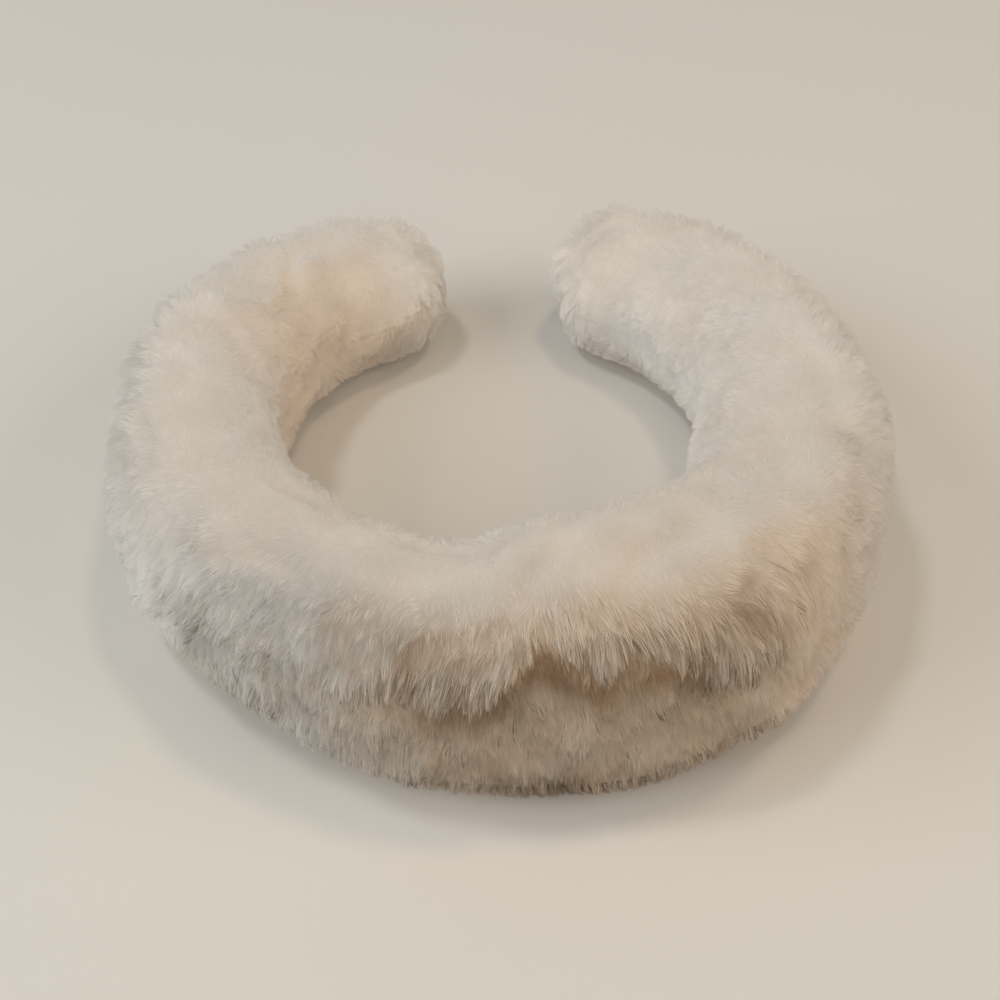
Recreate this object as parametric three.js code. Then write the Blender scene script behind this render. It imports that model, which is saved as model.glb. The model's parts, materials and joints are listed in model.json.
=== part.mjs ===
// A fuzzy headband: a stiff C-shaped band wrapped all round in dense, soft pile. It lies on its
// lower edge, open at the back (+Y), with its widest stretch at the front (-Y). The band inside
// shows nowhere, so the headband is one solid: the outer form of its pile, from tip to tip.
// Millimetres and degrees, +Z up. The origin is under the middle of the headband, where it rests.

import * as THREE from 'three';

// The section at places round the band, each as the pile stands there.
//   angle   where it is, round from the front, positive towards +X
//   radius  how far its middle lies from the band's middle
//   thick   how thick it is, from the inner face to the outer face
//   height  how high it stands
const SECTIONS = [
  { angle: -154, radius: 71, thick: 34.5, height: 39 },
  { angle: -125, radius: 73, thick: 38, height: 46 },
  { angle: -95, radius: 72.5, thick: 43, height: 55 },
  { angle: -65, radius: 75, thick: 44.5, height: 58 },
  { angle: -35, radius: 75, thick: 44.5, height: 60.5 },
  { angle: 0, radius: 74, thick: 45.5, height: 64.5 },
  { angle: 35, radius: 76.5, thick: 47.5, height: 67 },
  { angle: 65, radius: 74, thick: 46, height: 61 },
  { angle: 95, radius: 71.5, thick: 43, height: 57.5 },
  { angle: 125, radius: 74, thick: 40.5, height: 47 },
  { angle: 154.5, radius: 74, thick: 38, height: 39.5 },
];

// The places where the pile parts, sinks or swells.
//   angle, reach  where it is round the band, and how far it fades out each way
//   turn, spread  where it is round the section (0 outer face, 90 top, 180 inner face, 270 under),
//                 and how far it fades out each way
//   dent          how deep it is, below 0 for a swelling
const FOLDS = [
  { angle: -9, reach: 9, turn: 120, spread: 40, dent: 4 }, // the parting in the front's inner rim
  { angle: 13, reach: 11, turn: 115, spread: 35, dent: -2.5 }, // the fuller rim beside it
  { angle: 3, reach: 26, turn: -14, spread: 17, dent: 4 }, // the hollow under the front's long pile
  { angle: 31, reach: 10, turn: -6, spread: 16, dent: 2.5 }, // the hollow's deep end
  { angle: -42, reach: 14, turn: -35, spread: 35, dent: 2 }, // the tucked lower edge on the left
  { angle: 80, reach: 12, turn: 185, spread: 50, dent: -4 }, // a tuft into the hollow of the band
  { angle: -88, reach: 12, turn: 175, spread: 40, dent: 2 }, // the pressed inner face opposite
  { angle: 108, reach: 9, turn: 50, spread: 30, dent: 2 }, // a shallow step on the right shoulder
  { angle: -118, reach: 10, turn: 95, spread: 35, dent: 1.5 }, // a shallow step on the left arm
];

const BOXINESS = 2.6; // 2 is an ellipse, and a larger number squares the section's shoulders
const SETTLED = 1.2; // how much of the lowest pile is flattened where it rests
const RINGS_ALONG = 64; // sections between the two tips' domes
const RINGS_PER_DOME = 7; // sections in each tip's dome, its point left out
const POINTS_AROUND = 36; // corners of a section, with one straight underneath

const PILE_COLOUR = 0xd0c5ba;
const PILE_ROUGHNESS = 0.95;

const { degToRad, lerp } = THREE.MathUtils;

const sizes = ['radius', 'thick', 'height'];
const sizeSpline = new THREE.CubicInterpolant(
  SECTIONS.map((row) => row.angle),
  SECTIONS.flatMap((row) => sizes.map((name) => row[name])),
  sizes.length,
);

// The section's sizes at an angle round the band, on a smooth curve through the table's rows.
function sizesAt(angle) {
  const [radius, thick, height] = sizeSpline.evaluate(angle);
  return { radius, thick, height };
}

// The middle line's point on the ground plan, at an angle round the band.
function middleAt(angle) {
  const { radius } = sizesAt(angle);
  const around = degToRad(angle);
  return new THREE.Vector3(radius * Math.sin(around), -radius * Math.cos(around), 0);
}

// The middle line's direction there, from the left tip towards the right one.
function alongAt(angle) {
  const step = 0.5;
  return middleAt(angle + step).sub(middleAt(angle - step)).normalize();
}

// How far the folds push the surface in, at a place round the band and round the section.
function dentAt(angle, turn) {
  let depth = 0;
  for (const fold of FOLDS) {
    const turnGap = THREE.MathUtils.euclideanModulo(turn - fold.turn + 180, 360) - 180;
    const fade = ((angle - fold.angle) / fold.reach) ** 2 + (turnGap / fold.spread) ** 2;
    depth += fold.dent * Math.exp(-fade);
  }
  return depth;
}

// A cosine or sine bent towards the corners, which turns a circle into the section's rounded box.
function squared(value) {
  return Math.sign(value) * Math.abs(value) ** (2 / BOXINESS);
}

// The corners of one section. size shrinks it about its middle, and ahead moves it along the band.
function sectionRing(angle, size, ahead) {
  const { thick, height } = sizesAt(angle);
  const along = alongAt(angle);
  const outward = new THREE.Vector3(along.y, -along.x, 0);
  const middle = middleAt(angle).addScaledVector(along, ahead);
  const ring = [];
  for (let i = 0; i < POINTS_AROUND; i += 1) {
    const turn = (360 * i) / POINTS_AROUND;
    const out = (squared(Math.cos(degToRad(turn))) * thick) / 2;
    const up = (squared(Math.sin(degToRad(turn))) * height) / 2;
    const keep = size * (1 - dentAt(angle, turn) / Math.hypot(out, up));
    const point = middle.clone().addScaledVector(outward, out * keep);
    point.z = Math.max(height / 2 + up * keep - SETTLED, 0);
    ring.push(point);
  }
  return ring;
}

// A tip's dome, from its base to just short of its point. way is -1 at the left tip, 1 at the right.
function domeRings(angle, way) {
  const reach = sizesAt(angle).thick / 2;
  const rings = [];
  for (let i = 1; i <= RINGS_PER_DOME; i += 1) {
    const lift = degToRad((90 * i) / (RINGS_PER_DOME + 1));
    rings.push(sectionRing(angle, Math.cos(lift), way * reach * Math.sin(lift)));
  }
  return rings;
}

// The point of a tip's dome.
function domePoint(angle, way) {
  const { thick, height } = sizesAt(angle);
  const point = middleAt(angle).addScaledVector(alongAt(angle), (way * thick) / 2);
  point.z = height / 2 - SETTLED;
  return point;
}

// A closed surface through rings of equal length, with a point at each end.
function closedLoft(firstPoint, rings, lastPoint) {
  const positions = [firstPoint, ...rings.flat(), lastPoint].flatMap((point) => point.toArray());
  const last = rings.length * POINTS_AROUND + 1;
  const corner = (ring, i) => 1 + ring * POINTS_AROUND + (i % POINTS_AROUND);
  const faces = [];
  for (let i = 0; i < POINTS_AROUND; i += 1) {
    faces.push(0, corner(0, i), corner(0, i + 1));
    for (let ring = 0; ring + 1 < rings.length; ring += 1) {
      faces.push(corner(ring, i), corner(ring + 1, i), corner(ring + 1, i + 1));
      faces.push(corner(ring, i), corner(ring + 1, i + 1), corner(ring, i + 1));
    }
    faces.push(last, corner(rings.length - 1, i + 1), corner(rings.length - 1, i));
  }
  const geometry = new THREE.BufferGeometry();
  geometry.setAttribute('position', new THREE.Float32BufferAttribute(positions, 3));
  geometry.setIndex(faces);
  return geometry;
}

// The whole band of pile, resting on the ground plane with the origin under its middle.
function furBandGeometry() {
  const leftTip = SECTIONS.at(0).angle;
  const rightTip = SECTIONS.at(-1).angle;
  const band = [];
  for (let i = 0; i < RINGS_ALONG; i += 1) {
    band.push(sectionRing(lerp(leftTip, rightTip, i / (RINGS_ALONG - 1)), 1, 0));
  }
  const rings = [...domeRings(leftTip, -1).reverse(), ...band, ...domeRings(rightTip, 1)];
  const geometry = closedLoft(domePoint(leftTip, -1), rings, domePoint(rightTip, 1));
  geometry.computeBoundingBox();
  const centre = geometry.boundingBox.getCenter(new THREE.Vector3());
  geometry.translate(-centre.x, -centre.y, 0);
  geometry.computeVertexNormals();
  return geometry;
}

const pile = new THREE.MeshStandardMaterial({
  color: PILE_COLOUR,
  roughness: PILE_ROUGHNESS,
  metalness: 0,
});

const furBand = new THREE.Mesh(furBandGeometry(), pile);
furBand.name = 'fur_band';

const headband = new THREE.Group();
headband.name = 'fuzzy_headband';
headband.add(furBand);

export default headband;
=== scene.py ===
"""A fuzzy headband: a stiff C-shaped band in a cover of dense, soft, off-white faux fur.

Laid out as a Blender add-on and run as a script. Its operators grow the headband in this order: the
dense underfur as one padded body, the pile over it in stretches round the band, the longer guard
hairs that hang over the front, and last the stage. Everything is in metres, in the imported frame.
"""

import json
import math

import bmesh
import bpy
import numpy as np
from bpy.props import FloatProperty, FloatVectorProperty, IntProperty, PointerProperty
from mathutils import Matrix, Vector, kdtree, noise


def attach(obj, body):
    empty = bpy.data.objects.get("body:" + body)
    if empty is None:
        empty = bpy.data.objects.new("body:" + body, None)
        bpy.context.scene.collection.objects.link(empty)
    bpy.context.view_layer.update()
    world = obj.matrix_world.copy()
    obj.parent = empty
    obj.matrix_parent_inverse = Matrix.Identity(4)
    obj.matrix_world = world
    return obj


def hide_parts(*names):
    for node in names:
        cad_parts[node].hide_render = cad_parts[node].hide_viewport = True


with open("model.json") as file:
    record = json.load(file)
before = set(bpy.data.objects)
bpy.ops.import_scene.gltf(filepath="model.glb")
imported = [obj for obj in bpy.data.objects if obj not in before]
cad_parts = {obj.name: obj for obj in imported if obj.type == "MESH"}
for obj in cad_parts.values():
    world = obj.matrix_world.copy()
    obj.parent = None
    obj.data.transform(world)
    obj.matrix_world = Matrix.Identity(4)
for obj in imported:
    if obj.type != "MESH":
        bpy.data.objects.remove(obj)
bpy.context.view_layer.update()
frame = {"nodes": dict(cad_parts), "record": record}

bl_info = {
    "name": "Fuzzy headband",
    "version": (1, 0, 0),
    "blender": (4, 5, 0),
    "location": "3D View > Sidebar > Headband",
    "description": "Grows a headband of deep faux fur on a packed band",
    "category": "Add Mesh",
}

MM = 0.001
BAND = "fur_band"
BODY = "root"
UNDERFUR_OFF_FLOOR = 0.2 * MM  # the underfur is flattened this far above the floor
HAIRS_OFF_FLOOR = 0.05 * MM  # and the hairs, which spread under it, this far
PALETTE_MAP = "OFBake"  # the hairs' own UV map: tone across, painted-shade root colour to tip colour upwards
HEAD_OPENING = frame["record"]["physics"]["openings"][0]["box_m"]
BAND_MIDDLE = (Vector(HEAD_OPENING[0]) + Vector(HEAD_OPENING[1])) / 2


def linear(srgb_hex):
    """A colour written as sRGB hex, turned to linear RGBA."""
    parts = [int(srgb_hex[i : i + 2], 16) / 255 for i in (1, 3, 5)]
    return [c / 12.92 if c <= 0.04045 else ((c + 0.055) / 1.055) ** 2.4 for c in parts] + [1.0]


def add_object(name, data):
    """A new object in the scene."""
    made = bpy.data.objects.new(name, data)
    bpy.context.scene.collection.objects.link(made)
    return made


# ---------------------------------------------------------------- settings


class HeadbandPile(bpy.types.PropertyGroup):
    """Sizes of the fur."""

    thickness: FloatProperty(
        name="Hair thickness",
        description="Width of a hair of the pile at its thickest",
        default=0.16 * MM,
        unit="LENGTH",
    )
    tuft_size: FloatProperty(
        name="Tuft size",
        description="Size of the pile's small tufts, as a share of each coat's own",
        default=1.0,
        subtype="FACTOR",
    )
    hairs: IntProperty(
        name="Hairs",
        description="Hairs of the pile over the whole headband",
        default=138000,
    )
    guard_hairs: IntProperty(
        name="Guard hairs",
        description="Longer hairs that hang over the front of the band",
        default=5000,
    )
    guard_length: FloatProperty(
        name="Guard hair length",
        description="How far a guard hair hangs down over the front",
        default=7.5 * MM,
        unit="LENGTH",
    )


class HeadbandColours(bpy.types.PropertyGroup):
    """Colours of the fur and of the floor."""

    white_tip: FloatVectorProperty(
        name="White tips",
        description="Tips of the whitest hairs",
        subtype="COLOR",
        default=linear("#f0ebe2")[:3],
    )
    # Painted shade: a greyer, dimmer copy of the white tips, the colour deep in the pile
    white_shaded_root: FloatVectorProperty(
        name="White roots",
        description="Roots of the whitest hairs",
        subtype="COLOR",
        default=linear("#a6a29b")[:3],
    )
    cream_tip: FloatVectorProperty(
        name="Cream tips",
        description="Tips of the cream hairs",
        subtype="COLOR",
        default=linear("#edd9c3")[:3],
    )
    # Painted shade: a dimmer copy of the cream tips, the colour deep in the pile
    cream_shaded_root: FloatVectorProperty(
        name="Cream roots",
        description="Roots of the cream hairs",
        subtype="COLOR",
        default=linear("#ae9a84")[:3],
    )
    taupe_tip: FloatVectorProperty(
        name="Taupe tips",
        description="Tips of the darkest hairs",
        subtype="COLOR",
        default=linear("#af906e")[:3],
    )
    # Painted shade: a deep brown copy of the taupe tips, the colour deep in the pile
    taupe_shaded_root: FloatVectorProperty(
        name="Taupe roots",
        description="Roots of the darkest hairs",
        subtype="COLOR",
        default=linear("#73543b")[:3],
    )
    floor: FloatVectorProperty(
        name="Floor",
        description="The painted board under the headband",
        subtype="COLOR",
        default=linear("#ede7dc")[:3],
    )


class HeadbandStage(bpy.types.PropertyGroup):
    """Where the camera stands."""

    azimuth: FloatProperty(
        name="Azimuth",
        description="Camera's turn round the headband from the front, positive towards +X",
        default=math.radians(-0.5),
        subtype="ANGLE",
    )
    elevation: FloatProperty(
        name="Elevation",
        description="Camera's angle above the floor",
        default=math.radians(45.9),
        subtype="ANGLE",
    )


# ---------------------------------------------------------------- materials


def add_node(tree, kind, settings=None, inputs=None):
    """Adds a node, sets its properties, then sets or links its inputs."""
    node = tree.nodes.new(kind)
    for name, value in (settings or {}).items():
        setattr(node, name, value)
    for name, value in (inputs or {}).items():
        if isinstance(value, bpy.types.NodeSocket):
            tree.links.new(value, node.inputs[name])
        else:
            node.inputs[name].default_value = value
    return node


def new_material(name):
    """An empty node material and its tree."""
    material = bpy.data.materials.new(name)
    material.use_nodes = True
    material.node_tree.nodes.clear()
    return material, material.node_tree


def mixed(tree, share, first, second):
    """The colour share of the way from first to second, each of them a socket."""
    inputs = {"Factor": share, "A": first, "B": second}
    return add_node(tree, "ShaderNodeMix", {"data_type": "RGBA"}, inputs).outputs["Result"]


def toned(tree, tone, white, cream, taupe):
    """The colour for a tone from 0 for white over 0.5 for cream to 1 for taupe."""
    node = add_node(tree, "ShaderNodeValToRGB", inputs={"Fac": tone})
    ramp = node.color_ramp
    ramp.elements.new(0.5)
    for element, colour in zip(ramp.elements, (white, cream, taupe)):
        element.color = [*colour, 1.0]
    return node.outputs["Color"]


def hair_material(colours):
    """Modacrylic faux fur, heat set and brushed: matt, soft fibres with a faint silky sheen."""
    material, tree = new_material("modacrylic_faux_fur_brushed")
    uv = add_node(tree, "ShaderNodeUVMap", {"uv_map": PALETTE_MAP})
    split = add_node(tree, "ShaderNodeSeparateXYZ", inputs={"Vector": uv.outputs["UV"]})
    tone, rise = split.outputs["X"], split.outputs["Y"]
    # The roots' colours are painted shade deep in the pile; rise mixes them towards the tips' colours.
    roots = toned(tree, tone, colours.white_shaded_root, colours.cream_shaded_root, colours.taupe_shaded_root)
    tips = toned(tree, tone, colours.white_tip, colours.cream_tip, colours.taupe_tip)
    surface = add_node(
        tree,
        "ShaderNodeBsdfPrincipled",
        inputs={
            "Base Color": mixed(tree, rise, roots, tips),
            "Roughness": 0.62,
            "IOR": 1.47,
            "Specular IOR Level": 0.1,
            "Sheen Weight": 0.05,
            "Sheen Roughness": 0.5,
        },
    )
    add_node(tree, "ShaderNodeOutputMaterial", inputs={"Surface": surface.outputs["BSDF"]})
    return material


def underfur_material(colours):
    """The woolly ground of the fur: short crimped fibres, warmer than the pile's tips and dimmed by painted
    shade.
    """
    material, tree = new_material("modacrylic_underfur_crimped")
    place = add_node(tree, "ShaderNodeTexCoord").outputs["Object"]
    patches = add_node(
        tree,
        "ShaderNodeTexNoise",
        inputs={"Vector": place, "Scale": 1 / (9 * MM), "Detail": 3.0},
    ).outputs["Fac"]
    tone = add_node(tree, "ShaderNodeAttribute", {"attribute_name": "tone"}).outputs["Fac"]
    shifted = add_node(
        tree,
        "ShaderNodeMath",
        {"operation": "MULTIPLY_ADD", "use_clamp": True},
        {0: patches, 1: 0.12, 2: tone},
    ).outputs["Value"]
    wool = add_node(
        tree,
        "ShaderNodeTexNoise",
        inputs={"Vector": place, "Scale": 1 / (1.2 * MM), "Detail": 4.0},
    ).outputs["Fac"]
    bump = add_node(
        tree,
        "ShaderNodeBump",
        inputs={"Height": wool, "Distance": 0.3 * MM, "Strength": 0.3},
    )
    rise = add_node(tree, "ShaderNodeAttribute", {"attribute_name": "rise"}).outputs["Fac"]
    # Painted shade: the rise attribute mixes from the roots' shade colours towards the tips' colours.
    roots = toned(tree, shifted, colours.white_shaded_root, colours.cream_shaded_root, colours.taupe_shaded_root)
    tips = toned(tree, shifted, colours.white_tip, colours.cream_tip, colours.taupe_tip)
    surface = add_node(
        tree,
        "ShaderNodeBsdfPrincipled",
        inputs={
            "Base Color": mixed(tree, rise, roots, tips),
            "Roughness": 0.9,
            "Normal": bump.outputs["Normal"],
            "Sheen Weight": 0.05,
        },
    )
    add_node(tree, "ShaderNodeOutputMaterial", inputs={"Surface": surface.outputs["BSDF"]})
    return material


# ---------------------------------------------------------------- the fur's surface


def unit(vectors):
    """Rows of vectors at length 1."""
    return vectors / np.maximum(np.linalg.norm(vectors, axis=-1, keepdims=True), 1e-12)


def ease(values, low, high):
    """0 up to low, 1 from high on, and smooth between them. low may be above high."""
    t = np.clip((values - low) / (high - low), 0, 1)
    return t * t * (3 - 2 * t)


def rumple(points, pitch, seed):
    """Smooth noise from about -1 to 1 at each point, whose lumps are about a pitch across."""
    shift = Vector((17.3, -9.1, 5.7)) * seed
    return np.array([noise.noise(Vector(p) / pitch + shift) for p in points])


class Places:
    """Points on the fur's surface, with the directions that the pile is combed by."""

    def __init__(self, points, normals):
        self.points, self.normals = points, normals
        flat = points - np.array([*BAND_MIDDLE.xy, 0.0])
        flat[:, 2] = 0
        self.out = unit(flat)
        self.up = np.tile([0.0, 0.0, 1.0], (len(points), 1))
        side = np.where(flat[:, 0] < 0, -1.0, 1.0)[:, None]
        self.to_tip = np.cross(self.up, self.out) * side
        self.angle = np.degrees(np.arctan2(flat[:, 0], -flat[:, 1]))
        self.n_out = (normals * self.out).sum(1)
        self.n_up = normals[:, 2]
        self.n_tip = (normals * self.to_tip).sum(1)
        self.high = points[:, 2]
        self.coats = None

    def along_surface(self, vectors):
        """The vectors laid flat on the surface, at length 1."""
        lift = (vectors * self.normals).sum(1, keepdims=True)
        return unit(vectors - lift * self.normals)


# Where the long front pile ends, as angle round the band and height in millimetres.
LEDGE = (
    (-60, 34),
    (-26, 37),
    (-21, 35),
    (-17, 36),
    (-14, 40),
    (-12, 45),
    (-10, 42),
    (-7, 39),
    (-3, 41),
    (0, 43),
    (1.5, 50),
    (4, 55),
    (6, 57),
    (9, 55),
    (13, 50),
    (17, 53),
    (22, 52),
    (24, 49),
    (26, 44),
    (29, 37),
    (33, 35),
    (38, 38),
    (60, 40),
)


def ledge_height(places):
    """How high the long front pile ends above the floor, in rounded locks with notches between."""
    angles, heights = zip(*LEDGE)
    around = np.radians(places.angle)
    locks = 2.4 * np.abs(np.sin(around * 23 + 1.3 * np.sin(around * 13)))
    ragged = 0.8 * np.sin(around * 71 + 1) + 1.8 * rumple(places.points, 5 * MM, 14)
    return (np.interp(places.angle, angles, heights) + 2.6 - locks + ragged) * MM


# How the pile lies in each part of the headband. Lengths are in millimetres.
#   depth    how far the hairs stand out of the underfur
#   reach    how far their ends are combed along the surface
#   lift     how far their ends stand above the surface
#   fray     how unevenly neighbouring tufts stand
#   tuft     distance from one small tuft to the next
#   grip     how far each tuft is drawn to a point, up to 1
#   relief   how far the ends of clumps stand out over the crevices between them
#   plush    how far the light falls on the fur as on one soft surface, not hair by hair, up to 1
#   mixture  how much the tone differs from hair to hair
#   root     how far a hair's root is from the painted-shade root colour to the tip colour, up to 1
#   end      the same for its end
#   crowd    how densely the hairs stand
COATS = {
    "crown": (0.7, 2.0, 0.10, 0.10, 3.4, 0.25, 0.15, 0.97, 0.00, 0.91, 0.97, 1.0),
    "inner": (1.1, 1.8, 0.35, 0.25, 4.2, 0.45, 0.8, 0.96, 0.00, 0.92, 1.00, 1.0),
    "tip": (2.2, 1.5, 0.8, 0.30, 5.6, 0.50, 2.2, 0.95, 0.01, 0.90, 0.98, 1.1),
    "nape": (2.2, 1.5, 0.8, 0.30, 5.4, 0.50, 2.2, 0.95, 0.01, 0.90, 0.99, 1.1),
    "flank": (1.8, 1.8, 0.4, 0.22, 4.2, 0.45, 1.4, 0.94, 0.01, 0.84, 0.97, 1.0),
    "ruff": (2.6, 2.4, 0.5, 0.25, 3.8, 0.50, 1.7, 0.95, 0.01, 0.78, 1.00, 1.0),
    "fringe": (2.6, 2.6, 0.3, 0.25, 3.3, 0.50, 1.7, 0.92, 0.03, 0.60, 0.96, 1.0),
    "hem": (2.6, 2.0, 0.1, 0.20, 3.8, 0.50, 1.5, 0.96, 0.01, 0.79, 1.03, 1.0),
    "under": (1.6, 1.5, 0.0, 0.20, 3.4, 0.30, 0.3, 0.85, 0.03, 0.62, 0.88, 0.3),
}
COLUMNS = (
    "depth",
    "reach",
    "lift",
    "fray",
    "tuft",
    "grip",
    "relief",
    "plush",
    "mixture",
    "root",
    "end",
    "crowd",
)


def coat_weights(places):
    """How much each coat counts at each place, worked out once. The weights add up to about 1."""
    if places.coats is None:
        places.coats = mixed_coats(places)
    return places.coats


def mixed_coats(places):
    """The coats' weights, from the angle round the band, the height and the way the surface faces."""
    angle = places.angle
    front = ease(angle, -60, -42) * ease(angle, 46, 34)  # the stretch with long outer pile
    long_pile = ease(angle, -26, -12) * ease(angle, 42, 32)  # where that pile is longest
    outer = ease(places.n_out, -0.12, 0.60)
    shoulder = ease(places.high + 6 * MM * rumple(places.points, 9 * MM, 9), 72 * MM, 53 * MM)
    above = ease(places.high, ledge_height(places) - 2.0 * MM, ledge_height(places) + 2.0 * MM)
    tip = ease(places.n_tip, 0.0, 0.8)
    arms = ease(np.abs(angle), 60, 90)
    under = ease(places.n_up + 0.17 * arms, -0.6, -0.9 + 0.10 * arms)
    rest = (1 - tip) * (1 - under)
    face = rest * outer * above * shoulder
    fringe = face * long_pile
    ruff = face * front * (1 - long_pile)
    hem = rest * front * outer * (1 - above)
    flank = rest * outer * (1 - front)
    nape = flank * ease(np.abs(angle), 60, 100)
    inner = rest * ease(places.n_out, -0.15, -0.65)
    crown = np.clip(1 - (1 - under) * tip - under - fringe - ruff - hem - flank - inner, 0, 1)
    return {
        "crown": crown,
        "inner": inner,
        "tip": (1 - under) * tip,
        "nape": nape,
        "flank": flank - nape,
        "ruff": ruff,
        "fringe": fringe,
        "hem": hem,
        "under": under,
    }


def coat(places, column):
    """A column of the coats' table at each place, mixed by the coats' weights."""
    which = COLUMNS.index(column)
    return sum(weight * COATS[name][which] for name, weight in coat_weights(places).items())


def swell(places):
    """How far the lumps, partings, ledge and flared foot lift the fur's surface, in metres."""
    lumps = 1.2 * rumple(places.points, 17 * MM, 4) + 0.6 * rumple(places.points, 8 * MM, 5)
    parting = np.exp(-((rumple(places.points, 24 * MM, 7) / 0.07) ** 2))
    weights = coat_weights(places)
    long_pile = weights["fringe"] + 0.5 * weights["ruff"]
    ledge = 1.2 * long_pile * ease(places.high, 66 * MM, 56 * MM) - 0.6 * weights["hem"]
    flare = ease(places.high, 22 * MM, 7 * MM) * ease(places.n_out, -0.2, 0.5)
    flare *= ease(places.angle, -22, 0) * ease(places.angle, 80, 55)
    return (lumps - 1.0 * parting * (1 - weights["hem"]) + ledge + 2.2 * flare) * MM


def fur_surface():
    """The band's solid, divided finely and swollen into lumps: where most hairs end."""
    bm = bmesh.new()
    bm.from_mesh(frame["nodes"][BAND].data)
    bmesh.ops.remove_doubles(bm, verts=bm.verts, dist=0.001 * MM)
    bmesh.ops.recalc_face_normals(bm, faces=bm.faces)
    bmesh.ops.subdivide_edges(bm, edges=bm.edges, cuts=1, use_grid_fill=True)
    bmesh.ops.triangulate(bm, faces=bm.faces)
    bm.normal_update()
    points = np.array([v.co for v in bm.verts])
    normals = np.array([v.normal for v in bm.verts])
    moved = points + normals * swell(Places(points, normals))[:, None]
    for vert, co in zip(bm.verts, moved):
        vert.co = co
        vert.co.z = max(co[2], 0)
    bm.normal_update()
    return bm


def spread_places(bm, count, rng, weigh):
    """count places spread over a triangulated surface, evenly by area times weigh(places)."""
    corners = np.array([[v.co for v in f.verts] for f in bm.faces])
    normals = np.array([[v.normal for v in f.verts] for f in bm.faces])
    cross = np.cross(corners[:, 1] - corners[:, 0], corners[:, 2] - corners[:, 0])
    size = np.linalg.norm(cross, axis=1)
    share = np.cumsum(size * weigh(Places(corners.mean(1), unit(cross))))
    picks = (np.arange(count) + rng.random(count)) / count * share[-1]
    face = np.minimum(np.searchsorted(share, picks), len(size) - 1)
    a, b = rng.random((2, count, 1))
    a, b = np.where(a + b > 1, 1 - a, a), np.where(a + b > 1, 1 - b, b)
    mix = np.stack([1 - a - b, a, b], 1)
    return Places((corners[face] * mix).sum(1), unit((normals[face] * mix).sum(1)))


def combed(places):
    """The direction the pile is combed in, along the surface."""
    weights = coat_weights(places)
    front = weights["fringe"] + weights["ruff"] + weights["hem"]
    outward = 0.9 * np.tanh(3 * (places.n_out + 0.4 * ease(np.abs(places.angle), 54, 36)))
    down = -0.4 - 0.6 * np.abs(places.n_out)
    flow = places.out * outward[:, None] + places.up * down[:, None]
    flow += places.to_tip * (0.25 * (1 - front))[:, None]
    swirl = rumple(places.points, 14 * MM, 1) * (0.9 - 0.3 * front)
    swirl += 0.5 * rumple(places.points, 5 * MM, 6)
    straight = places.along_surface(flow)
    aside = np.cross(places.normals, straight)
    return unit(straight * np.cos(swirl)[:, None] + aside * np.sin(swirl)[:, None])


def patch(places, angle, reach, high, spread):
    """1 in the middle of a patch on the outer face, fading out over its reach and spread."""
    fade = ((places.angle - angle) / reach) ** 2 + ((places.high / MM - high) / spread) ** 2
    return np.exp(-fade) * ease(places.n_out, 0.0, 0.5)


def ground_tone(places):
    """The fur's tone, from 0 for white over 0.5 for cream to 1 for brown; some of it painted light and
    shade.
    """
    angle = places.angle
    outer = ease(places.n_out, -0.15, 0.85)
    # Tan on the front's outer face: partly the long pile's own colour, partly painted shade.
    face = outer * 0.42 * ease(angle, -34, 4) * ease(angle, 72, 38)
    face -= 0.07 * outer * ease(angle, -12, -40)
    front_top = 0.05 * ease(np.abs(angle), 110, 60) * ease(places.n_up, 0.2, 0.8)
    # Painted warm light: a warmer tone on the left arm's inner face, where warm light falls.
    painted_warm_light = 0.30 * ease(np.abs(angle + 122), 50, 12) * ease(places.n_out, 0.2, -0.5)
    painted_warm_light *= 1 - 0.6 * ease(places.n_tip, 0.3, 0.8)
    # Painted shade: a taupe tone in the recess under the long pile's ledge.
    below = (ledge_height(places) - places.high) / MM
    painted_hollow_shade = 0.42 * np.exp(-(((below - 6) / 8) ** 2)) * ease(np.abs(angle - 8), 30, 12)
    painted_hollow_shade *= coat_weights(places)["hem"]
    tan_patch = 0.04 * patch(places, 50, 14, 56, 8)
    # Painted shade: a browner tone where the front's foot curves under towards the floor.
    foot = 0.30 * ease(places.n_up, -0.15, -0.5) * ease(np.abs(angle - 36), 52, 26)
    patches = 0.07 * rumple(places.points, 20 * MM, 5)
    patches += 0.18 * rumple(places.points, 7 * MM, 12) * outer * ease(np.abs(angle), 60, 40)
    return np.clip(0.09 + front_top + face + painted_warm_light + painted_hollow_shade + tan_patch + foot + patches, 0, 1)


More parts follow.
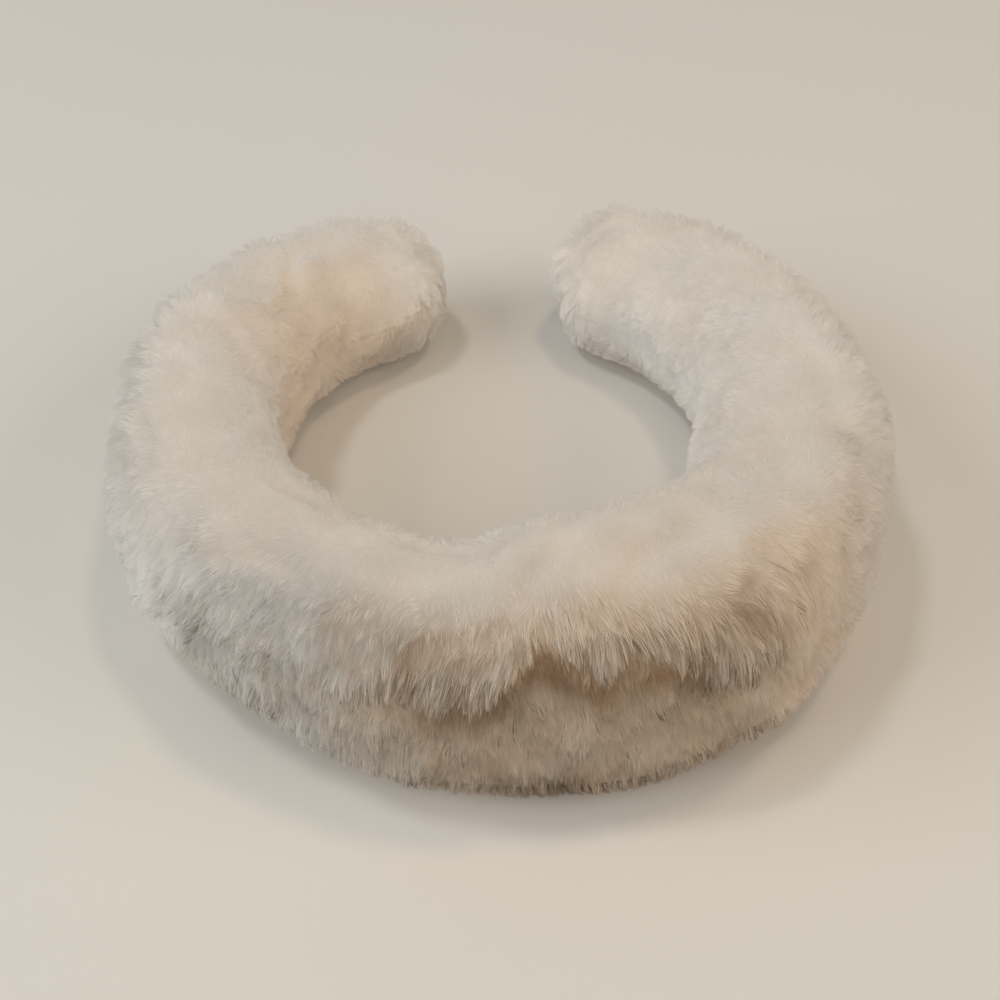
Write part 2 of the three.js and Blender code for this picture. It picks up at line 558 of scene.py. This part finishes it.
def mottle_and_painted_shade(places):
    """How much paler the fur is than its coat's own colour, below 0 where painted shade dims it.

    The fur is mottled, most of all in the hem. Shade is painted into its colour over the brow,
    in a dip on the front's left shoulder, towards the long pile's ledge, down both sides, at the
    front's foot and low in the hem's middle.
    """
    weights = coat_weights(places)
    mottled = 0.8 + 0.4 * (weights["fringe"] + weights["ruff"]) + 2.0 * weights["hem"]
    brow = (weights["crown"] + weights["inner"]) * ease(np.abs(places.angle), 110, 60)
    edge = weights["fringe"] * ease(places.high - ledge_height(places), 13 * MM, 2 * MM)
    dip = np.exp(-(((places.angle + 25) / 19) ** 2)) * ease(places.n_out, -0.3, 0.3)
    dip *= ease(places.n_up, 0.2, 0.6)
    foot = ease(places.high, 7 * MM, 2 * MM) * ease(np.abs(places.angle - 12), 60, 30)
    left_side = (weights["flank"] + weights["nape"]) * ease(places.n_out, 0.2, 0.8)
    left_side *= ease(places.angle, -50, -75) * ease(places.angle, -150, -115)
    shaded = np.exp(-(((places.angle - 9) / 15) ** 2)) * ease(places.high, 20 * MM, 8 * MM)
    right_side = ease(places.n_out, 0.2, 0.8) * ease(places.angle, 42, 58)
    right_side *= ease(places.angle, 125, 100)
    # Painted shade, dimming the fur's colour where shade falls on it.
    painted_shade = 0.10 * brow + 0.26 * dip + 0.22 * edge + 0.26 * left_side + 0.12 * right_side
    painted_shade += 0.36 * foot + (0.05 + 0.42 * shaded) * weights["hem"]
    return 0.15 * rumple(places.points, 9 * MM, 15) * mottled - painted_shade


# ---------------------------------------------------------------- hairs


def hair_template(bends):
    """Corners and faces of one straight hair from z 0 to 1: three sided, pointed at both ends."""
    bm = bmesh.new()
    bmesh.ops.create_uvsphere(bm, u_segments=3, v_segments=bends + 1, radius=1.0)
    bmesh.ops.triangulate(bm, faces=bm.faces)
    bmesh.ops.recalc_face_normals(bm, faces=bm.faces)
    corners = np.array([v.co for v in bm.verts])
    faces = np.array([[v.index for v in f.verts] for f in bm.faces])
    bm.free()
    corners[:, 2] = (corners[:, 2] + 1) / 2
    return corners, faces


class Hairs:
    """Many hairs, each an arc from its start over its middle to its end.

    shade is painted light and shade: how much paler than its coat each one is for where it stands in its
    tufts, paler at a tuft's end and duller in the crevices between.
    """

    def __init__(self, starts, middles, ends, normals, comb):
        self.starts, self.middles, self.ends, self.normals = starts, middles, ends, normals
        self.comb = comb
        self.shade = np.zeros(len(starts))

    def picked(self, mine):
        """The hairs that mine is true for."""
        arcs = (self.starts, self.middles, self.ends, self.normals, self.comb)
        some = Hairs(*(values[mine] for values in arcs))
        for name in ("thickness", "tones", "plush", "root", "end"):
            setattr(some, name, getattr(self, name)[mine])
        return some


FLATTENED = 0.35  # a brushed fibre's depth as a share of its width, its flat face outwards


def hairs_mesh(name, bends, hairs, rng):
    """One joined mesh of hairs, each a template bent along its arc."""
    corners, faces = hair_template(bends)
    count, per_hair = len(hairs.starts), len(corners)
    s = (corners[:, 2] ** 1.15)[None, :, None]  # a hair is widest a little nearer its root
    p0, p1, p2 = (p[:, None, :] for p in (hairs.starts, hairs.middles, hairs.ends))
    spine = (1 - s) ** 2 * p0 + 2 * s * (1 - s) * p1 + s**2 * p2
    run = unit(2 * (1 - s) * (p1 - p0) + 2 * s * (p2 - p1))
    facing = hairs.normals[:, None, :] + 0.15 * rng.normal(size=(count, 1, 3))
    across = unit(np.cross(facing, run))
    aside = np.cross(across, run)
    sideways = FLATTENED * corners[None, :, 0:1] * aside + corners[None, :, 1:2] * across
    points = spine + hairs.thickness[:, None, None] / 2 * sideways
    points[..., 2] = np.maximum(points[..., 2], HAIRS_OFF_FLOOR)

    mesh = bpy.data.meshes.new(name)
    mesh.vertices.add(count * per_hair)
    mesh.vertices.foreach_set("co", points.astype(np.float32).ravel())
    loops = (faces[None] + per_hair * np.arange(count)[:, None, None]).ravel()
    mesh.loops.add(len(loops))
    mesh.loops.foreach_set("vertex_index", loops.astype(np.int32))
    mesh.polygons.add(len(loops) // 3)
    mesh.polygons.foreach_set("loop_start", np.arange(0, len(loops), 3, dtype=np.int32))
    mesh.update(calc_edges=True)
    mesh.shade_smooth()
    plush = hairs.plush[:, None, None]
    soft = unit((1 - plush) * unit(sideways) + plush * hairs.normals[:, None, :])
    mesh.normals_split_custom_set_from_vertices(soft.reshape(-1, 3).astype(np.float32))

    # Each side of a hair gets a little width on the map, so that no face is a bare line there.
    turn = np.arctan2(corners[:, 1], corners[:, 0]) / math.tau
    pole = np.hypot(corners[:, 0], corners[:, 1]) < 0.01
    side = np.where(pole, 0.0, turn) * 0.02
    u = np.clip(0.02 + 0.96 * hairs.tones[:, None] + side[None, :], 0.001, 0.999)
    rise = hairs.root[:, None] + (hairs.end - hairs.root)[:, None] * corners[None, :, 2]
    v = 0.005 + 0.99 * np.clip(rise, 0, 1)
    palette = np.stack([u, v], 2).reshape(-1, 2)[loops]
    mesh.uv_layers.new(name=PALETTE_MAP).data.foreach_set("uv", palette.astype(np.float32).ravel())
    return mesh


ROOTED = 0.7 * MM  # how far below the underfur's surface a hair of the pile starts


def pile_hairs(places, rng, scatter):
    """Hairs of the pile rooted at the places. scatter says how unevenly they stand."""
    comb = combed(places)
    uneven = rng.normal(size=(3, len(places.points))).clip(-2, 2)
    fray = coat(places, "fray") * MM
    reach = coat(places, "reach") * MM * (1 + 0.25 * uneven[0])
    lift = coat(places, "lift") * MM + fray * (0.6 * rumple(places.points, 6 * MM, 3) + scatter * uneven[1])
    turn = 0.4 * scatter * uneven[2]
    comb = comb * np.cos(turn)[:, None] + np.cross(places.normals, comb) * np.sin(turn)[:, None]
    starts = places.points - places.normals * (coat(places, "depth") * MM + ROOTED)[:, None]
    starts -= comb * (0.6 * reach)[:, None]
    middles = places.points + places.normals * (0.1 * lift)[:, None] + comb * (0.25 * reach)[:, None]
    ends = places.points + places.normals * lift[:, None] + comb * reach[:, None]
    return Hairs(starts, middles, ends, places.normals, comb)


CLUMP_SQUASH = np.array([1.0, 1.0, 0.55])  # clumps are longer than wide, down the band's faces


def gather(places, hairs, tufts, tuft_hairs, pitch, grip, relief):
    """Draws hairs to the nearest tuft, most at their ends, so that each tuft comes to a point.

    The tuft's far end stands out by up to the relief and gets a painted highlight, and the crevice round it
    sinks and gets painted shade.
    """
    tree = kdtree.KDTree(len(tufts.points))
    for i, point in enumerate(tufts.points * CLUMP_SQUASH):
        tree.insert(point, i)
    tree.balance()
    found = [tree.find_n(point, 2) for point in places.points * CLUMP_SQUASH]
    near = np.array([first[1] for first, second in found])
    gap = np.array([first[2] for first, second in found]) / pitch
    edge = np.array([second[2] - first[2] for first, second in found]) / pitch
    away = places.points - tufts.points[near]
    ahead = np.clip((away * hairs.comb).sum(1) / pitch, -1, 1)
    stand = np.maximum(1.3 * ahead - 0.9 * np.exp(-((edge / 0.20) ** 2)), -1.0)
    # Painted light and shade: tuft ends paler, crevices duller, in the hairs' colours.
    hairs.shade += stand * relief / MM
    hairs.middles += places.normals * (0.6 * relief * stand)[:, None]
    hairs.ends += places.normals * (relief * stand)[:, None]
    pull = (grip * np.clip(1.4 / np.maximum(gap, 0.1), 0, 1) ** 2)[:, None]
    hairs.middles += (tuft_hairs.middles[near] - hairs.middles) * 0.3 * pull
    hairs.ends += (tuft_hairs.ends[near] - hairs.ends) * pull
    hairs.ends += (hairs.middles - hairs.ends) * (0.28 * np.clip(gap, 0, 1))[:, None] * pull
    lean = away / np.reshape(pitch, (-1, 1))
    hairs.normals = unit(hairs.normals + (0.15 * pull + 0.5 * relief[:, None] / MM) * lean)
    return near


def softened(places, normals):
    """The normals, leaning upwards all over but the front's outer face.

    Light soaks down through the fur, so its sides are nearly as bright as its top.
    """
    weights = coat_weights(places)
    wrap = 0.6 * (1 - weights["fringe"] - weights["ruff"] - weights["hem"])
    wrap += 1.3 * (weights["tip"] + weights["nape"])
    wrap += 0.8 * weights["inner"] * ease(np.abs(places.angle), 45, 85)
    return unit(normals + wrap[:, None] * places.up)


def finish_hairs(places, hairs, near, thickness, rng):
    """Gives each hair its tone, colours with their painted light and shade, thickness, plushness and
    softened normal.
    """
    mixture = coat(places, "mixture")
    # The hairs of a tuft share a part of their tone.
    uneven = 0.6 * rng.normal(size=near.max() + 1)[near] + rng.normal(size=len(near))
    hairs.tones = np.clip(ground_tone(places) + mixture * uneven, 0, 1)
    hairs.thickness = thickness * rng.uniform(0.75, 1.25, len(near))
    hairs.plush = coat(places, "plush")
    weights = coat_weights(places)
    # The tufts' painted light and shade counts for most in the long front pile.
    deep = 0.06 + 0.22 * (weights["fringe"] + weights["ruff"] + weights["hem"])
    paler = deep * hairs.shade + mottle_and_painted_shade(places)
    hairs.root = coat(places, "root") + paler
    hairs.end = coat(places, "end") + paler
    hairs.normals = softened(places, hairs.normals)


def new_piece(name, mesh, material):
    """A piece of the headband, riding on its body and standing for the band's solid."""
    piece = add_object(name, mesh)
    mesh.materials.append(material)
    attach(piece, BODY)
    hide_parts(BAND)
    return piece


def new_hair_piece(name, mesh, scene):
    """A piece of hairs. They share one material, made for the first of them."""
    made = bpy.data.materials.get("modacrylic_faux_fur_brushed")
    piece = new_piece(name, mesh, made or hair_material(scene.headband_colours))
    # Light soaks through fine pale hairs, so the underfur alone casts the headband's shadow.
    piece.visible_shadow = False


# ---------------------------------------------------------------- operators


class HEADBAND_OT_underfur(bpy.types.Operator):
    """Make the dense underfur, the padded body that every hair stands in."""

    bl_idname = "headband.underfur"
    bl_label = "Underfur"

    def execute(self, context):
        bm = fur_surface()
        points = np.array([v.co for v in bm.verts])
        normals = np.array([v.normal for v in bm.verts])
        places = Places(points, normals)
        wool = 0.15 * MM * rumple(points, 3.5 * MM, 2)
        moved = points - normals * (coat(places, "depth") * MM - wool)[:, None]
        for vert, co in zip(bm.verts, moved):
            vert.co = co
            vert.co.z = max(co[2], UNDERFUR_OFF_FLOOR)
        mesh = bpy.data.meshes.new("underfur")
        bm.to_mesh(mesh)
        bm.free()
        mesh.shade_smooth()
        mesh.normals_split_custom_set_from_vertices(softened(places, normals).astype(np.float32))
        # Painted shade between the hairs: as far below the colour of the hairs' roots as that is below the
        # tips' full colour.
        rise = 2.0 * coat(places, "root") - 1.0 + mottle_and_painted_shade(places)
        for name, values in (("tone", ground_tone(places)), ("rise", rise)):
            mesh.attributes.new(name, "FLOAT", "POINT").data.foreach_set("value", values)
        piece = new_piece("underfur", mesh, underfur_material(context.scene.headband_colours))
        return {"FINISHED"}


# The stretches of pile round the band, each one piece, from and up to an angle in degrees.
STRETCHES = (
    {"name": "pile_left_tip", "start": -181, "end": -108},
    {"name": "pile_left_side", "start": -108, "end": -52},
    {"name": "pile_front_left", "start": -52, "end": 0},
    {"name": "pile_front_right", "start": 0, "end": 52},
    {"name": "pile_right_side", "start": 52, "end": 108},
    {"name": "pile_right_tip", "start": 108, "end": 181},
)

PILE_SEED = 11
GUARD_SEED = 23
TUFT_GAP = 3.8 * MM  # from one small tuft of the pile to the next, on average

# The tufts that the pile gathers into, large locks first.
#   size    how large they are, over the coat's own small tufts
#   grip    how far they are drawn to a point, over the coat's grip
#   share   how far they stand out, over the coat's relief
PILE_TUFTS = (
    {"size": 2.4, "grip": 0.35, "share": 1.0},
    {"size": 1.0, "grip": 1.0, "share": 0.4},
)

# The same for the guard hairs, whose grip is their own. count is how many tufts there are.
GUARD_TUFTS = (
    {"size": 2.6, "grip": 0.5, "share": 0.6, "count": 110},
    {"size": 0.8, "grip": 0.65, "share": 0.3, "count": 800},
)


class HEADBAND_OT_pile(bpy.types.Operator):
    """Grow the pile over the whole band, in stretches of one piece each."""

    bl_idname = "headband.pile"
    bl_label = "Pile"

    def execute(self, context):
        pile = context.scene.headband_pile
        rng = np.random.default_rng(PILE_SEED)
        bm = fur_surface()
        area = sum(f.calc_area() for f in bm.faces)
        places = spread_places(bm, pile.hairs, rng, lambda p: coat(p, "crowd"))
        hairs = pile_hairs(places, rng, 0.35)
        grips = coat(places, "grip") + 0.12 * rumple(places.points, 12 * MM, 8)
        # The pile is pressed flatter where the headband rests.
        relief = coat(places, "relief") * MM * (0.35 + 0.65 * ease(places.high, 3 * MM, 10 * MM))
        for row in PILE_TUFTS:
            size = row["size"] * pile.tuft_size
            tufts = spread_places(
                bm, int(area / (TUFT_GAP * size) ** 2), rng, lambda p: 1 / coat(p, "tuft") ** 2
            )
            tuft_hairs = pile_hairs(tufts, rng, 0.9)
            pitch = coat(places, "tuft") * size * MM
            near = gather(
                places, hairs, tufts, tuft_hairs, pitch, grips * row["grip"], relief * row["share"]
            )
        bm.free()
        finish_hairs(places, hairs, near, pile.thickness, rng)
        for row in STRETCHES:
            mine = (places.angle >= row["start"]) & (places.angle < row["end"])
            mesh = hairs_mesh(row["name"], 1, hairs.picked(mine), rng)
            new_hair_piece(row["name"], mesh, context.scene)
        return {"FINISHED"}


def guard_places(places):
    """How densely guard hairs stand: most just over the ledge, and fewer and lower on the left."""
    weights = coat_weights(places)
    low_left = ease(places.angle, -6, -16) * ease(places.high, 30 * MM, 20 * MM)
    above = (places.high - ledge_height(places)) / MM
    long_pile = weights["fringe"] * (0.2 + 0.8 * ease(above, 15, 5))
    long_pile *= 0.5 + 0.5 * ease(places.angle, -16, 2)
    return long_pile + 0.25 * weights["ruff"] + 0.6 * low_left * weights["hem"]


def guard_hairs(places, length, rng):
    """Guard hairs rooted at the places, hanging along the comb down to the ledge."""
    comb = combed(places)
    weights = coat_weights(places)
    room = np.maximum(places.high - ledge_height(places), 0) + 1.5 * MM
    room = np.where(weights["hem"] > 0.5, 3.5 * MM, room)
    room += np.where(rng.random(len(room)) < 0.12, 4 * MM, 0)  # about one in eight hangs on further
    fall = np.minimum(length * (1 - 0.5 * weights["ruff"]), 1.2 * room)
    fall *= rng.uniform(0.5, 1.1, len(room))
    lift = (1.4 * rng.random(len(room)) + 0.2)[:, None] * MM
    starts = places.points - places.normals * (3 * MM)
    middles = places.points + places.normals * lift + comb * 0.35 * fall[:, None]
    ends = places.points + places.normals * 0.7 * lift + comb * fall[:, None]
    return Hairs(starts, middles, ends, places.normals, comb)


class HEADBAND_OT_guard_hairs(bpy.types.Operator):
    """Grow the longer guard hairs that hang over the front of the band."""

    bl_idname = "headband.guard_hairs"
    bl_label = "Guard hairs"

    def execute(self, context):
        pile = context.scene.headband_pile
        rng = np.random.default_rng(GUARD_SEED)
        bm = fur_surface()
        places = spread_places(bm, pile.guard_hairs, rng, guard_places)
        hairs = guard_hairs(places, pile.guard_length, rng)
        relief = coat(places, "relief") * MM
        for row in GUARD_TUFTS:
            tufts = spread_places(bm, row["count"], rng, guard_places)
            tuft_hairs = guard_hairs(tufts, pile.guard_length, rng)
            pitch = coat(places, "tuft") * row["size"] * MM
            near = gather(
                places, hairs, tufts, tuft_hairs, pitch, row["grip"], relief * row["share"]
            )
        bm.free()
        finish_hairs(places, hairs, near, 0.8 * pile.thickness, rng)
        # Some whole tufts of guard hairs are paler than the pile under them, partly as painted highlight.
        # Others are deep taupe strands: painted shade for the shaded gaps between strands.
        kind = 0.7 * rng.random(near.max() + 1)[near] + 0.3 * rng.random(len(near))
        hairs.tones = np.where(kind < 0.3, 0.5 * hairs.tones, hairs.tones)
        painted_shade_strands = (kind > 0.68) & (hairs.tones > 0.33)
        hairs.tones = np.where(painted_shade_strands, 0.9, hairs.tones)
        hairs.end = np.where(painted_shade_strands, 0.15, hairs.end)
        hairs.plush = 0.85 * hairs.plush
        mesh = hairs_mesh("guard_hairs_front", 2, hairs, rng)
        new_hair_piece("guard_hairs_front", mesh, context.scene)
        return {"FINISHED"}


FLOOR_REACH = 3.0  # from the middle of the floor to each side, in metres
FLOOR_ROUGHNESS = 0.55  # eggshell paint
ROOM_COLOUR = "#fffdfa"
ROOM_STRENGTH = 0.20

# The soft lights round the headband, each a square softbox that faces the middle.
#   turn    where it stands, round from the front in degrees, positive towards +X
#   lift    how far up from the floor it stands, in degrees
#   away    how far off it stands, in metres
#   size    how long its sides are, in metres
#   power   in watts
#   colour  as sRGB hex
LIGHTS = {
    "ceiling_light_right": (125, 76, 1.8, 0.2, 3.2, "#ffe8c6"),
    "ceiling_light_left": (-100, 72, 1.8, 0.2, 4.2, "#f3faff"),
    "front_fill": (0, 42, 1.4, 1.0, 1.2, "#fff4e0"),
    "window_left": (-75, 35, 1.4, 1.0, 7.6, "#f0f7ff"),
    "lamp_right": (75, 35, 1.4, 1.0, 5.6, "#fff6ee"),
}

CAMERA_PIVOT = Vector((0, 0, 25)) * MM  # the point that the camera turns about
CAMERA_TARGET = Vector((0.8, -16.2, 25)) * MM  # the point that it looks at
CAMERA_AWAY = 440.8 * MM
CAMERA_ROLL = math.radians(1.17)
CAMERA_LENS = 64.8  # focal length in millimetres
CAMERA_SENSOR = 36.0  # width in millimetres
LIGHT_BOUNCES = 16  # light goes on bouncing between pale hairs
DIFFUSE_BOUNCES = 10


def towards(turn, lift):
    """The direction out from the middle, turned from the front and lifted by angles in radians."""
    return Vector((math.sin(turn) * math.cos(lift), -math.cos(turn) * math.cos(lift), math.sin(lift)))


def set_floor(colour):
    """A board painted pale: smooth and nearly matt, with only a broad faint gloss."""
    bm = bmesh.new()
    bmesh.ops.create_grid(bm, x_segments=1, y_segments=1, size=FLOOR_REACH)
    mesh = bpy.data.meshes.new("floor")
    bm.to_mesh(mesh)
    bm.free()
    material, tree = new_material("painted_board_pale")
    inputs = {"Base Color": [*colour, 1.0], "Roughness": FLOOR_ROUGHNESS}
    surface = add_node(tree, "ShaderNodeBsdfPrincipled", inputs=inputs)
    add_node(tree, "ShaderNodeOutputMaterial", inputs={"Surface": surface.outputs["BSDF"]})
    mesh.materials.append(material)
    add_object("floor", mesh)


def set_room(scene):
    """A dim, even light from all round."""
    scene.world = bpy.data.worlds.new("soft_room")
    scene.world.use_nodes = True
    background = scene.world.node_tree.nodes["Background"]
    background.inputs["Color"].default_value = linear(ROOM_COLOUR)
    background.inputs["Strength"].default_value = ROOM_STRENGTH


def set_light(name, turn, lift, away, size, power, colour):
    """A light from a row of LIGHTS."""
    data = bpy.data.lights.new(name, "AREA")
    data.shape = "SQUARE"
    data.size = size
    data.energy = power
    data.color = linear(colour)[:3]
    back = towards(math.radians(turn), math.radians(lift))
    light = add_object(name, data)
    light.location = back * away
    light.rotation_euler = back.to_track_quat("Z", "Y").to_euler()


def set_camera(scene):
    """The camera, at the stage's azimuth and elevation."""
    camera = add_object("camera", bpy.data.cameras.new("camera"))
    scene.camera = camera
    stage = scene.headband_stage
    camera.location = CAMERA_PIVOT + towards(stage.azimuth, stage.elevation) * CAMERA_AWAY
    look = (CAMERA_TARGET - camera.location).to_track_quat("-Z", "Y")
    roll = Matrix.Rotation(CAMERA_ROLL, 4, "Z")
    camera.rotation_euler = (look.to_matrix().to_4x4() @ roll).to_euler()
    camera.data.lens = CAMERA_LENS
    camera.data.sensor_width = CAMERA_SENSOR
    camera.data.clip_start = 10 * MM


class HEADBAND_OT_stage(bpy.types.Operator):
    """Set the pale floor, the soft lights and the camera."""

    bl_idname = "headband.stage"
    bl_label = "Stage"

    def execute(self, context):
        scene = context.scene
        set_floor(scene.headband_colours.floor)
        set_room(scene)
        for name, row in LIGHTS.items():
            set_light(name, *row)
        set_camera(scene)
        scene.view_settings.view_transform = "Standard"
        scene.cycles.max_bounces = LIGHT_BOUNCES
        scene.cycles.diffuse_bounces = DIFFUSE_BOUNCES
        return {"FINISHED"}


class HEADBAND_PT_panel(bpy.types.Panel):
    """The headband's operators and settings."""

    bl_idname = "HEADBAND_PT_panel"
    bl_label = "Headband"
    bl_space_type = "VIEW_3D"
    bl_region_type = "UI"
    bl_category = "Headband"

    def draw(self, context):
        for name in SETTINGS:
            group = getattr(context.scene, name)
            for prop in group.bl_rna.properties:
                if not prop.is_readonly and prop.identifier != "name":
                    self.layout.prop(group, prop.identifier)
        for name in OPERATORS:
            self.layout.operator(f"headband.{name}")


SETTINGS = {
    "headband_pile": HeadbandPile,
    "headband_colours": HeadbandColours,
    "headband_stage": HeadbandStage,
}
OPERATORS = ("underfur", "pile", "guard_hairs", "stage")
CLASSES = (
    HeadbandPile,
    HeadbandColours,
    HeadbandStage,
    HEADBAND_OT_underfur,
    HEADBAND_OT_pile,
    HEADBAND_OT_guard_hairs,
    HEADBAND_OT_stage,
    HEADBAND_PT_panel,
)


def register():
    """Adds the operators, the panel and the settings."""
    for each in CLASSES:
        bpy.utils.register_class(each)
    for name, group in SETTINGS.items():
        setattr(bpy.types.Scene, name, PointerProperty(type=group))


def unregister():
    """Takes them away again."""
    for name in SETTINGS:
        delattr(bpy.types.Scene, name)
    for each in reversed(CLASSES):
        bpy.utils.unregister_class(each)


def main():
    """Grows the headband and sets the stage."""
    register()
    for name in OPERATORS:
        getattr(bpy.ops.headband, name)()


if __name__ == "__main__":
    main()
